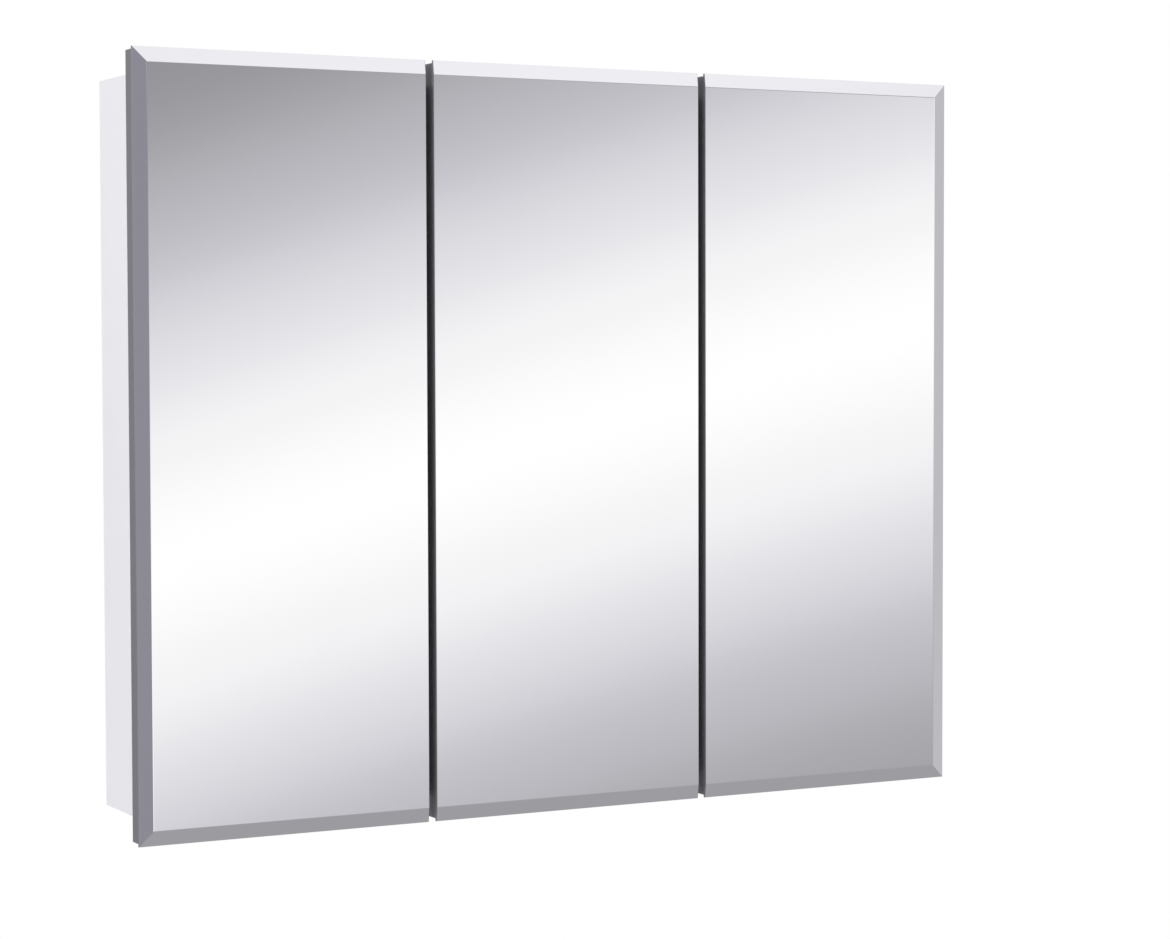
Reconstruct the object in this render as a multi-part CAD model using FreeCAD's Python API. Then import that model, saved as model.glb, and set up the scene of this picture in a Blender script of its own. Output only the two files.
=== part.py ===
import FreeCAD
import Part
import math
import os
from FreeCAD import Vector

# A surface-mounted medicine cabinet with three bevelled mirror doors. Millimetres.
# The wall is the plane y = 0, the mirrors face -y, z = 0 is mid height and x = 0 is mid width.

# Overall sizes
overall_width = 914.4
overall_height = 749.3
overall_depth = 120.65

# Doors
door_gap = 8.0
side_overhang = 8.0
end_overhang = 23.0
door_standoff = 3.0
glass_thickness = 4.0
bevel_width = 14.0
bevel_drop = 2.0
tape_thickness = 1.0
tape_width = 20.0
tape_count = 4
tape_margin = 30.0
board_thickness = 16.0
board_side_inset = 0.5
board_end_inset = 2.5
edging_thickness = 1.0

# Case
panel_thickness = 12.0
edge_radius = 1.0
back_thickness = 3.0
groove_depth = 5.0
groove_clearance = 0.1
rail_thickness = 12.0
rail_height = 70.0
divider_setback = 2.0
dowel_radius = 3.0
dowel_bite = 18.0
dowel_web = 4.0
dowel_inset = 22.0
rail_dowel_spacing = 40.0
wall_screw_radius = 2.5
wall_screw_spacing = 406.4

# Shelves and their pins
shelf_thickness = 10.0
shelf_setback = 12.0
shelf_clearance = 1.5
shelf_back_clearance = 1.0
pin_radius = 2.5
pin_web = 1.0
pin_collar_radius = 3.6
pin_collar_thickness = 1.0
pin_tab_length = 9.0
pin_tab_width = 8.0
pin_tab_thickness = 3.0
pin_inset = 18.0
hole_pitch = 32.0
hole_steps = 2

# Hinges: u runs inward from the hinged edge of the door, v runs back from the front of the case
hinge_inset = 100.0
cup_radius = 17.5
cup_wall = 0.8
cup_floor = 0.6
cup_web = 3.5
cup_rim = 3.0
cup_lip = 0.8
flange_thickness = 1.2
flange_width = 14.0
flange_length = 60.0
flange_offset = 6.0
cup_screw_spacing = 48.0
pivot_from_rim = 4.0
pivot_radius = 1.25
knuckle_wall = 0.95
knuckle_length = 8.0
neck_length = 12.0
lug_reach = 3.0
swing_clearance = 0.3
arm_thickness = 3.0
arm_width = 12.0
arm_bend_radius = 2.0
crank_start = 20.0
crank_end = 4.0
plate_thickness = 3.0
plate_line = 37.0
plate_length = 46.0
plate_width = 14.0
wing_thickness = 2.0
wing_width = 13.0
wing_length = 48.0
plate_screw_spacing = 32.0
fixing_offset = 12.0
fixing_slot = 5.0
adjusting_offset = 10.0

# Screws
wood_screw_radius = 1.6
wood_head_radius = 3.2
wood_head_height = 1.8
wood_screw_web = 3.0
fixing_screw_radius = 2.0
fixing_head_radius = 3.8
fixing_head_height = 2.2
adjusting_length = 5.0
fit_clearance = 0.05

# Magnetic catches, strike plates and bumpers
catch_inset = 45.0
catch_length = 40.0
catch_block_length = 26.0
catch_height = 12.0
catch_depth = 16.0
catch_ear_thickness = 4.0
catch_ear_margin = 3.0
catch_wall = 2.0
pole_thickness = 1.5
pole_step = 1.0
strike_thickness = 1.2
strike_length = 34.0
strike_height = 12.0
catch_gap = 0.2
bumper_radius = 4.5
bumper_inset = 16.0
bumper_gap = 0.3

# Derived sizes of the case
door_thickness = glass_thickness + tape_thickness + board_thickness
case_depth = overall_depth - door_thickness - door_standoff
case_front = -case_depth
case_half_width = overall_width / 2 - side_overhang
case_half_height = overall_height / 2 - end_overhang
inner_half_width = case_half_width - panel_thickness
inner_half_height = case_half_height - panel_thickness
back_front = -(rail_thickness + back_thickness)
door_width = (overall_width - 2 * door_gap) / 3
door_pitch = door_width + door_gap
divider_x = door_pitch / 2
divider_front = case_front + divider_setback

# Derived places through the thickness of a door
board_back = case_front - door_standoff
board_front = board_back - board_thickness
glass_back = board_front - tape_thickness
glass_front = glass_back - glass_thickness

# Derived hinge sizes
cup_depth = board_thickness - cup_web
cup_inner_depth = cup_depth - cup_floor
cup_inner_radius = cup_radius - cup_wall
cup_u = board_side_inset + cup_rim + cup_radius
knuckle_radius = pivot_radius + knuckle_wall
pivot_u = board_side_inset + cup_rim + pivot_from_rim
pivot_depth = cup_inner_depth - swing_clearance - knuckle_radius
pivot_v = -(door_standoff + pivot_depth)
pivot_half_length = math.sqrt(cup_inner_radius ** 2 - (cup_u - pivot_u) ** 2) - 0.5
arm_nose_u = side_overhang + panel_thickness + plate_thickness
plate_screw_length = wing_thickness + panel_thickness - wood_screw_web
cup_screw_length = flange_thickness + board_thickness - wood_screw_web

# Derived places of the shelves and of the wall screws
shelf_level = inner_half_height / 3
shelf_front = case_front + shelf_setback
shelf_back = back_front - shelf_back_clearance
pin_hole_depth = (panel_thickness - pin_web) / 2
pin_rows = (shelf_front + pin_inset, shelf_back - pin_inset)
dowel_rows = (case_front + dowel_inset, back_front - dowel_inset)
dowel_blind = panel_thickness - dowel_web
wall_screw_z = inner_half_height - rail_height / 2

# The left door is hinged on the left side panel, the right door on the right side panel and the
# centre door on the right divider. inward is the direction of u along x.
doors = (
    {"name": "left", "x": -door_pitch, "inward": 1, "bevels": (-1,)},
    {"name": "centre", "x": 0.0, "inward": -1, "bevels": ()},
    {"name": "right", "x": door_pitch, "inward": -1, "bevels": (1,)},
)
bays = (
    {"name": "left", "low": -inner_half_width, "high": -divider_x - panel_thickness / 2},
    {"name": "centre", "low": -divider_x + panel_thickness / 2, "high": divider_x - panel_thickness / 2},
    {"name": "right", "low": divider_x + panel_thickness / 2, "high": inner_half_width},
)


def block(low, high):
    size = Vector(*high) - Vector(*low)
    return Part.makeBox(size.x, size.y, size.z, Vector(*low))


def rod(radius, start, end):
    axis = Vector(*end) - Vector(*start)
    return Part.makeCylinder(radius, axis.Length, Vector(*start), axis)


def prism(points, direction):
    corners = [Vector(*point) for point in points]
    outline = Part.makePolygon(corners + corners[:1])
    return Part.Face(outline).extrude(Vector(*direction))


def edges_at(shape, x=None, y=None, z=None):
    wanted = []
    for edge in shape.Edges:
        ends = [vertex.Point for vertex in edge.Vertexes]
        close = [
            (x is None or abs(end.x - x) < 1e-6)
            and (y is None or abs(end.y - y) < 1e-6)
            and (z is None or abs(end.z - z) < 1e-6)
            for end in ends
        ]
        if all(close):
            wanted.append(edge)
    return wanted


# Rounds the two long front edges of a board that reaches from low to high, along x or along z.
def front_rounded(low, high, along):
    board = block(low, high)
    if along == "z":
        edges = edges_at(board, x=low[0], y=low[1]) + edges_at(board, x=high[0], y=low[1])
    else:
        edges = edges_at(board, y=low[1], z=low[2]) + edges_at(board, y=low[1], z=high[2])
    return board.makeFillet(edge_radius, edges)


def cut(shape, tools):
    return shape.cut(tools) if tools else shape


def cross_recess(head_radius, top, depth):
    reach = 0.6 * head_radius
    half = 0.14 * head_radius
    first = block((-reach, -half, top - depth), (reach, half, top + 1))
    second = block((-half, -reach, top - depth), (half, reach, top + 1))
    return first.fuse(second)


# A pan-head screw along -z, with the underside of its head at z = 0.
def pan_screw(radius, length, head_radius, head_height):
    head = Part.makeCylinder(head_radius, head_height)
    head = head.makeFillet(0.45 * head_height, edges_at(head, z=head_height))
    shank = rod(radius, (0, 0, 0), (0, 0, -length))
    return head.fuse(shank).removeSplitter().cut(cross_recess(head_radius, head_height, 0.6 * head_height))


# A countersunk screw along -z, with the top of its head at z = 0.
def flat_screw(radius, length, head_radius):
    head_height = head_radius - radius
    head = Part.makeCone(radius, head_radius, head_height, Vector(0, 0, -head_height))
    shank = rod(radius, (0, 0, -head_height), (0, 0, -length))
    return head.fuse(shank).cut(cross_recess(head_radius, 0, 0.6 * head_height))


def flat_screw_hole(radius, length, head_radius):
    head_height = head_radius - radius
    wide = head_radius + fit_clearance
    narrow = radius + fit_clearance
    head = Part.makeCone(narrow, wide, head_height, Vector(0, 0, -head_height))
    return head.fuse(rod(narrow, (0, 0, 0), (0, 0, -length - 0.5)))


def aimed(shape, point, axis):
    turned = shape.copy()
    turned.Placement = FreeCAD.Placement(Vector(*point), FreeCAD.Rotation(Vector(0, 0, 1), Vector(*axis)))
    return turned


# The six hinges: where the hinged edge of the door is and how far inside it the panel's face lies.
def hinge_places():
    places = []
    for door in doors:
        outer = door["name"] != "centre"
        face = side_overhang + panel_thickness if outer else (panel_thickness - door_gap) / 2
        for level, sign in (("upper", 1), ("lower", -1)):
            places.append({
                "door": door["name"],
                "level": level,
                "edge": door["x"] - door["inward"] * door_width / 2,
                "inward": door["inward"],
                "face": face,
                "z": sign * (case_half_height - hinge_inset),
            })
    return places


def put(shape, place):
    placed = shape.copy()
    if place["inward"] < 0:
        placed = placed.mirror(Vector(0, 0, 0), Vector(1, 0, 0))
    placed.translate(Vector(place["edge"], case_front, place["z"]))
    return placed


def strip_outline(path, thickness):
    near = []
    far = []
    points = [Vector(u, v, 0) for u, v in path]
    for index, point in enumerate(points):
        before = point - points[index - 1] if index > 0 else points[1] - point
        after = points[index + 1] - point if index < len(points) - 1 else before
        first = Vector(-before.y, before.x, 0).normalize()
        second = Vector(-after.y, after.x, 0).normalize()
        offset = (first + second) * (thickness / 2 / (1 + first.dot(second)))
        near.append(point + offset)
        far.append(point - offset)
    return near, far


# The arm runs forward from its mounting plate, cranks out to the nose line where the plate stands
# closer to the door's edge, enters the cup and turns back to the pivot.
def hinge_arm(place):
    seat = place["face"] + plate_thickness
    middle = arm_thickness / 2
    path = [(seat + middle, plate_line + plate_length / 2)]
    if arm_nose_u - seat > arm_thickness:
        path += [(seat + middle, crank_start), (arm_nose_u + middle, crank_end)]
    path += [(arm_nose_u + middle, pivot_v), (pivot_u, pivot_v)]
    near, far = strip_outline(path, arm_thickness)
    half = arm_width / 2
    outline = [(point.x, point.y, -half) for point in near + far[::-1]]
    arm = prism(outline, (0, 0, arm_width))
    for index in range(1, len(path) - 1):
        legs = [Vector(*path[index + step], 0) - Vector(*path[index + step - 1], 0) for step in (0, 1)]
        left_turn = legs[0].cross(legs[1]).z > 0
        radii = (arm_bend_radius, arm_bend_radius + arm_thickness)
        for corner, radius in zip((near[index], far[index]), radii if left_turn else radii[::-1]):
            arm = arm.makeFillet(radius, edges_at(arm, x=corner.x, y=corner.y))
    neck = knuckle_length / 2
    for side in (1, -1):
        low = (pivot_u - knuckle_radius, pivot_v - half, min(side * neck, side * arm_width))
        high = (pivot_u + neck_length, pivot_v + half, max(side * neck, side * arm_width))
        arm = arm.cut(block(low, high))
    knuckle = rod(knuckle_radius, (pivot_u, pivot_v, -neck), (pivot_u, pivot_v, neck))
    bore = rod(pivot_radius + fit_clearance, (pivot_u, pivot_v, -half), (pivot_u, pivot_v, half))
    slot = []
    hole = fixing_screw_radius + fit_clearance
    fixing_v = plate_line + fixing_offset
    for end in (-fixing_slot / 2, fixing_slot / 2):
        slot.append(rod(hole, (seat - 1, fixing_v + end, 0), (seat + arm_thickness + 1, fixing_v + end, 0)))
    slot.append(block(
        (seat - 1, fixing_v - fixing_slot / 2, -hole),
        (seat + arm_thickness + 1, fixing_v + fixing_slot / 2, hole),
    ))
    adjusting_v = plate_line - adjusting_offset
    thread = rod(hole, (seat - 1, adjusting_v, 0), (seat + arm_thickness + 1, adjusting_v, 0))
    return arm.fuse(knuckle).cut([bore, thread] + slot).removeSplitter()


def hinge_plate(place):
    face = place["face"]
    body = block(
        (face, plate_line - plate_length / 2, -plate_width / 2),
        (face + plate_thickness, plate_line + plate_length / 2, plate_width / 2),
    )
    wing = block(
        (face, plate_line - wing_width / 2, -wing_length / 2),
        (face + wing_thickness, plate_line + wing_width / 2, wing_length / 2),
    )
    corners = []
    for v in (plate_line - wing_width / 2, plate_line + wing_width / 2):
        for z in (-wing_length / 2, wing_length / 2):
            corners += edges_at(wing, y=v, z=z)
    wing = wing.makeFillet(0.45 * wing_width, corners)
    holes = [rod(
        fixing_screw_radius + fit_clearance,
        (face - 1, plate_line + fixing_offset, 0),
        (face + plate_thickness + 1, plate_line + fixing_offset, 0),
    )]
    for z in (-plate_screw_spacing / 2, plate_screw_spacing / 2):
        holes.append(rod(
            wood_screw_radius + fit_clearance,
            (face - 1, plate_line, z),
            (face + plate_thickness + 1, plate_line, z),
        ))
    return body.fuse(wing).cut(holes).removeSplitter()


def hinge_cup():
    top = -door_standoff
    outer = rod(cup_radius, (cup_u, top, 0), (cup_u, top - cup_depth, 0))
    disc = rod(cup_radius + cup_lip, (cup_u, top, 0), (cup_u, top + flange_thickness, 0))
    wing_u = cup_u + flange_offset
    wing = block(
        (wing_u - flange_width / 2, top, -flange_length / 2),
        (wing_u + flange_width / 2, top + flange_thickness, flange_length / 2),
    )
    corners = []
    for u in (wing_u - flange_width / 2, wing_u + flange_width / 2):
        for z in (-flange_length / 2, flange_length / 2):
            corners += edges_at(wing, x=u, z=z)
    wing = wing.makeFillet(0.45 * flange_width, corners)
    cavity = rod(cup_inner_radius, (cup_u, top + flange_thickness + 1, 0), (cup_u, top - cup_inner_depth, 0))
    cup = outer.fuse([disc, wing]).cut(cavity)
    lug_start = knuckle_length / 2 + fit_clearance * 4
    for side in (1, -1):
        low = (cup_u - cup_radius, top - cup_depth, min(side * lug_start, side * cup_radius))
        high = (pivot_u + lug_reach, pivot_v + lug_reach, max(side * lug_start, side * cup_radius))
        cup = cup.fuse(block(low, high).common(outer))
    reach = pivot_half_length + 0.3
    bore = rod(pivot_radius + fit_clearance, (pivot_u, pivot_v, -reach), (pivot_u, pivot_v, reach))
    return cup.cut([bore] + cup_screw_holes()).removeSplitter()


def cup_screw_spots():
    top = -door_standoff + flange_thickness
    return [(cup_u + flange_offset, top, side * cup_screw_spacing / 2) for side in (1, -1)]


def cup_screw_holes():
    hole = flat_screw_hole(wood_screw_radius, cup_screw_length, wood_head_radius)
    return [aimed(hole, spot, (0, 1, 0)) for spot in cup_screw_spots()]


def plate_screw_spots(place):
    top = place["face"] + wing_thickness
    return [(top, plate_line, side * plate_screw_spacing / 2) for side in (1, -1)]


def plate_screw_holes(place):
    holes = []
    for top, v, z in plate_screw_spots(place):
        radius = wood_screw_radius + fit_clearance
        holes.append(put(rod(radius, (top, v, z), (top - plate_screw_length - 0.5, v, z)), place))
    return holes


# Holes for the shelf pins in the face at x, drilled along inward, which points into the board.
def pin_holes(face_x, inward):
    holes = []
    for level in (-shelf_level, shelf_level):
        for step in range(-hole_steps, hole_steps + 1):
            for y in pin_rows:
                z = level + step * hole_pitch
                holes.append(rod(
                    pin_radius + fit_clearance, (face_x, y, z), (face_x + inward * pin_hole_depth, y, z)
                ))
    return holes


# Dowels and their holes: each spot is the point on the joint, with the axis from the blind board to the end.
def dowel_spots():
    spots = []
    for side in (-1, 1):
        joint_x = side * inner_half_width
        for end in (-1, 1):
            panel_z = end * (case_half_height - panel_thickness / 2)
            for y in dowel_rows:
                spots.append(((joint_x, y, panel_z), (-side, 0, 0)))
            for step in (-rail_dowel_spacing / 2, rail_dowel_spacing / 2):
                spots.append(((joint_x, -rail_thickness / 2, end * wall_screw_z + step), (-side, 0, 0)))
            for y in dowel_rows:
                spots.append(((side * divider_x, y, end * inner_half_height), (0, 0, -end)))
    return spots


def dowel_rods(radius, extra):
    rods = []
    for point, axis in dowel_spots():
        start = Vector(*point) - Vector(*axis) * (dowel_blind + extra)
        end = Vector(*point) + Vector(*axis) * (dowel_bite + extra)
        rods.append(rod(radius, start, end))
    return rods


def touching(board, tools):
    return [tool for tool in tools if board.BoundBox.intersect(tool.BoundBox)]


def wall_screw_holes():
    holes = []
    for x in (-wall_screw_spacing / 2, wall_screw_spacing / 2):
        for z in (-wall_screw_z, wall_screw_z):
            holes.append(rod(wall_screw_radius, (x, 1, z), (x, back_front - 1, z)))
    return holes


def free_edge(door):
    return door["x"] + door["inward"] * door_width / 2


def catch_x(door):
    return free_edge(door) - door["inward"] * catch_inset


def catch_z():
    return inner_half_height - catch_height / 2


def catch_screw_spots():
    spots = []
    ear = (catch_block_length + catch_length) / 4
    for door in doors:
        for side in (-1, 1):
            x = catch_x(door) + side * ear
            spots.append((x, case_front + catch_depth / 2, inner_half_height - catch_ear_thickness))
    return spots


def catch_screw_holes():
    length = catch_ear_thickness + panel_thickness - wood_screw_web + 0.5
    return [rod(wood_screw_radius + fit_clearance, spot, (spot[0], spot[1], spot[2] + length))
            for spot in catch_screw_spots()]


def case_boards():
    dowels = dowel_rods(dowel_radius + fit_clearance, 0.5)
    groove = block(
        (-inner_half_width - groove_depth, back_front - groove_clearance, -inner_half_height - groove_depth),
        (inner_half_width + groove_depth, -rail_thickness + groove_clearance, inner_half_height + groove_depth),
    )
    places = hinge_places()
    boards = {}
    for name, side in (("left", -1), ("right", 1)):
        low_x = min(side * inner_half_width, side * case_half_width)
        high_x = max(side * inner_half_width, side * case_half_width)
        panel = front_rounded((low_x, case_front, -case_half_height), (high_x, 0, case_half_height), "z")
        tools = [groove] + pin_holes(side * inner_half_width, side)
        for place in places:
            if place["door"] == name:
                tools += plate_screw_holes(place)
        boards[name + "_side_panel"] = cut(panel, tools + touching(panel, dowels))
        low_x = side * divider_x - panel_thickness / 2
        high_x = side * divider_x + panel_thickness / 2
        divider = front_rounded(
            (low_x, divider_front, -inner_half_height), (high_x, back_front, inner_half_height), "z"
        )
        tools = pin_holes(low_x, 1) + pin_holes(high_x, -1)
        for place in places:
            if place["door"] == "centre" and side > 0:
                tools += plate_screw_holes(place)
        boards[name + "_divider"] = cut(divider, tools + touching(divider, dowels))
    for name, end in (("top", 1), ("bottom", -1)):
        low_z = min(end * inner_half_height, end * case_half_height)
        high_z = max(end * inner_half_height, end * case_half_height)
        panel = front_rounded((-inner_half_width, case_front, low_z), (inner_half_width, 0, high_z), "x")
        tools = [groove] + touching(panel, dowels)
        if end > 0:
            tools += catch_screw_holes()
        boards[name + "_panel"] = cut(panel, tools)
        low_z = min(end * inner_half_height, end * (inner_half_height - rail_height))
        high_z = max(end * inner_half_height, end * (inner_half_height - rail_height))
        rail = block((-inner_half_width, -rail_thickness, low_z), (inner_half_width, 0, high_z))
        boards[name + "_hanging_rail"] = cut(rail, touching(rail, dowels + wall_screw_holes()))
    reach = groove_depth - 4 * groove_clearance
    back = block(
        (-inner_half_width - reach, back_front, -inner_half_height - reach),
        (inner_half_width + reach, -rail_thickness, inner_half_height + reach),
    )
    boards["back_panel"] = cut(back, wall_screw_holes())
    return boards


def shelves():
    made = {}
    pins = []
    for bay in bays:
        for level, z in (("upper", shelf_level), ("lower", -shelf_level)):
            low_z = z + pin_radius
            low = (bay["low"] + shelf_clearance, shelf_front, low_z)
            high = (bay["high"] - shelf_clearance, shelf_back, low_z + shelf_thickness)
            made[bay["name"] + "_" + level + "_shelf"] = front_rounded(low, high, "x")
            for face_x, outward in ((bay["low"], 1), (bay["high"], -1)):
                for y in pin_rows:
                    pins.append(shelf_pin(face_x, outward, y, z))
    made["shelf_pins"] = Part.makeCompound(pins)
    return made


# A shelf pin: barrel in the board, collar on its face and a flat tab under the shelf.
def shelf_pin(face_x, outward, y, z):
    barrel_end = face_x - outward * (pin_hole_depth - 0.3)
    collar_x = face_x + outward * pin_collar_thickness
    tab_x = face_x + outward * (pin_collar_thickness + pin_tab_length)
    barrel = rod(pin_radius, (barrel_end, y, z), (collar_x, y, z))
    collar = rod(pin_collar_radius, (face_x, y, z), (collar_x, y, z))
    tab = block(
        (min(collar_x, tab_x), y - pin_tab_width / 2, z + pin_radius - pin_tab_thickness),
        (max(collar_x, tab_x), y + pin_tab_width / 2, z + pin_radius),
    )
    ends = []
    for side in (-1, 1):
        ends += edges_at(tab, x=tab_x, y=y + side * pin_tab_width / 2)
    tab = tab.makeFillet(0.45 * pin_tab_width, ends)
    return barrel.fuse([collar, tab]).removeSplitter()


def mirror(door):
    half = door_width / 2
    top = overall_height / 2
    glass = block((door["x"] - half, glass_front, -top), (door["x"] + half, glass_back, top))
    cutters = []
    for side in door["bevels"]:
        edge = door["x"] + side * half
        inner = edge - side * bevel_width
        outer = edge + side * bevel_width
        outline = [
            (inner, glass_front, -top - 1),
            (outer, glass_front + 2 * bevel_drop, -top - 1),
            (outer, glass_front - 1, -top - 1),
            (inner, glass_front - 1, -top - 1),
        ]
        cutters.append(prism(outline, (0, 0, 2 * top + 2)))
    for end in (-1, 1):
        start = door["x"] - half - 1
        inner = end * (top - bevel_width)
        outer = end * (top + bevel_width)
        outline = [
            (start, glass_front, inner),
            (start, glass_front + 2 * bevel_drop, outer),
            (start, glass_front - 1, outer),
            (start, glass_front - 1, inner),
        ]
        cutters.append(prism(outline, (door_width + 2, 0, 0)))
    return glass.cut(cutters)


def door_bodies():
    made = {}
    cup = hinge_cup()
    bore = rod(cup_radius + 2 * fit_clearance, (cup_u, 0, 0), (cup_u, -door_standoff - cup_depth - 0.1, 0))
    cup_screw = flat_screw(wood_screw_radius, cup_screw_length, wood_head_radius)
    strike_screw = flat_screw(wood_screw_radius, cup_screw_length, wood_head_radius)
    strike_hole = flat_screw_hole(wood_screw_radius, cup_screw_length, wood_head_radius)
    for door in doors:
        name = door["name"]
        made[name + "_mirror"] = mirror(door)
        half = door_width / 2 - board_side_inset - edging_thickness
        top = overall_height / 2 - board_end_inset - edging_thickness
        core = block((door["x"] - half, board_front, -top), (door["x"] + half, board_back, top))
        ring = block(
            (door["x"] - half - edging_thickness, board_front, -top - edging_thickness),
            (door["x"] + half + edging_thickness, board_back, top + edging_thickness),
        )
        made[name + "_door_edging"] = ring.cut(core)
        tools = []
        screws = []
        for place in hinge_places():
            if place["door"] != name:
                continue
            tools.append(put(bore, place))
            tools += [put(hole, place) for hole in cup_screw_holes()]
            made[name + "_" + place["level"] + "_hinge_cup"] = put(cup, place)
            screws += [put(aimed(cup_screw, spot, (0, 1, 0)), place) for spot in cup_screw_spots()]
        strike_x = catch_x(door)
        strike_back = board_back + strike_thickness
        strike = block(
            (strike_x - strike_length / 2, board_back, catch_z() - strike_height / 2),
            (strike_x + strike_length / 2, strike_back, catch_z() + strike_height / 2),
        )
        corners = []
        for x in (strike_x - strike_length / 2, strike_x + strike_length / 2):
            for z in (catch_z() - strike_height / 2, catch_z() + strike_height / 2):
                corners += edges_at(strike, x=x, z=z)
        strike = strike.makeFillet(0.2 * strike_height, corners)
        spot = (strike_x, strike_back, catch_z())
        tools.append(aimed(strike_hole, spot, (0, 1, 0)))
        made[name + "_strike_plate"] = strike.cut(tools[-1])
        screws.append(aimed(strike_screw, spot, (0, 1, 0)))
        made[name + "_door_screws"] = Part.makeCompound(screws)
        made[name + "_door_board"] = core.cut(tools)
        strips = []
        step = (2 * half - 2 * tape_margin - tape_width) / (tape_count - 1)
        for index in range(tape_count):
            low_x = door["x"] - half + tape_margin + index * step
            strips.append(block(
                (low_x, glass_back, -top + tape_margin), (low_x + tape_width, board_front, top - tape_margin)
            ))
        made[name + "_mirror_tape"] = Part.makeCompound(strips)
    return made


def case_hinge_pieces():
    made = {}
    pins = []
    plate_screws = []
    arm_screws = []
    pin = rod(pivot_radius, (pivot_u, pivot_v, -pivot_half_length), (pivot_u, pivot_v, pivot_half_length))
    plate_screw = pan_screw(wood_screw_radius, plate_screw_length, wood_head_radius, wood_head_height)
    fixing_length = arm_thickness + plate_thickness
    fixing = pan_screw(fixing_screw_radius, fixing_length, fixing_head_radius, fixing_head_height)
    grub = rod(fixing_screw_radius, (0, 0, 0), (0, 0, adjusting_length))
    grub = grub.cut(cross_recess(fixing_screw_radius, adjusting_length, 1.2))
    for place in hinge_places():
        name = place["door"] + "_" + place["level"]
        made[name + "_hinge_arm"] = put(hinge_arm(place), place)
        made[name + "_hinge_plate"] = put(hinge_plate(place), place)
        pins.append(put(pin, place))
        seat = place["face"] + plate_thickness
        for spot in plate_screw_spots(place):
            plate_screws.append(put(aimed(plate_screw, spot, (1, 0, 0)), place))
        spot = (seat + arm_thickness, plate_line + fixing_offset, 0)
        arm_screws.append(put(aimed(fixing, spot, (1, 0, 0)), place))
        spot = (seat, plate_line - adjusting_offset, 0)
        arm_screws.append(put(aimed(grub, spot, (1, 0, 0)), place))
    made["hinge_pins"] = Part.makeCompound(pins)
    made["hinge_plate_screws"] = Part.makeCompound(plate_screws)
    made["hinge_arm_screws"] = Part.makeCompound(arm_screws)
    return made


# Magnetic catches under the top panel: two steel pole plates with a magnet between them in each housing.
def catches():
    housings = []
    magnets = []
    bumpers = []
    top = inner_half_height
    pole_front = board_back + strike_thickness + catch_gap
    pocket_half = catch_block_length / 2 - catch_wall
    pocket_low = top - catch_height + catch_wall
    pocket_high = top - catch_wall
    pocket_back = case_front + catch_depth - catch_wall
    for door in doors:
        x = catch_x(door)
        body = block(
            (x - catch_block_length / 2, case_front, top - catch_height),
            (x + catch_block_length / 2, case_front + catch_depth, top),
        )
        ears = block(
            (x - catch_length / 2, case_front + catch_ear_margin, top - catch_ear_thickness),
            (x + catch_length / 2, case_front + catch_depth - catch_ear_margin, top),
        )
        pocket = block(
            (x - pocket_half, case_front - 1, pocket_low), (x + pocket_half, pocket_back, pocket_high)
        )
        holes = touching(ears, catch_screw_holes())
        housings.append(body.fuse(ears).cut([pocket] + holes).removeSplitter())
        for low_z, high_z, front in (
            (pocket_low, pocket_low + pole_thickness, pole_front),
            (pocket_low + pole_thickness, pocket_high - pole_thickness, pole_front + pole_step),
            (pocket_high - pole_thickness, pocket_high, pole_front),
        ):
            magnets.append(block((x - pocket_half, front, low_z), (x + pocket_half, pocket_back, high_z)))
        bumper_x = free_edge(door) - door["inward"] * bumper_inset
        for end in (-1, 1):
            z = end * (case_half_height - panel_thickness / 2)
            tip = board_back + bumper_gap
            bumper = rod(bumper_radius, (bumper_x, case_front, z), (bumper_x, tip, z))
            rim = [edge for edge in bumper.Edges if abs(edge.BoundBox.YMax - tip) < 1e-4]
            bumpers.append(bumper.makeFillet(0.5 * (door_standoff - bumper_gap), rim))
    length = catch_ear_thickness + panel_thickness - wood_screw_web
    screw = pan_screw(wood_screw_radius, length, wood_head_radius, wood_head_height)
    screws = [aimed(screw, spot, (0, 0, -1)) for spot in catch_screw_spots()]
    return {
        "catch_housings": Part.makeCompound(housings),
        "catch_magnets": Part.makeCompound(magnets),
        "catch_screws": Part.makeCompound(screws),
        "door_bumpers": Part.makeCompound(bumpers),
    }


def main():
    nodes = {}
    nodes.update(case_boards())
    nodes["carcass_dowels"] = Part.makeCompound(dowel_rods(dowel_radius, 0))
    nodes.update(shelves())
    nodes.update(case_hinge_pieces())
    nodes.update(catches())
    nodes.update(door_bodies())
    os.makedirs("parts", exist_ok=True)
    for name, shape in nodes.items():
        shape.exportStep("parts/" + name + ".step")
    print(len(nodes), "nodes,", sum(len(shape.Solids) for shape in nodes.values()), "solids")


if __name__ == "__main__":
    main()
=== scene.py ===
import bpy
import math
import numpy as np
from mathutils import Matrix, Vector


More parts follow.
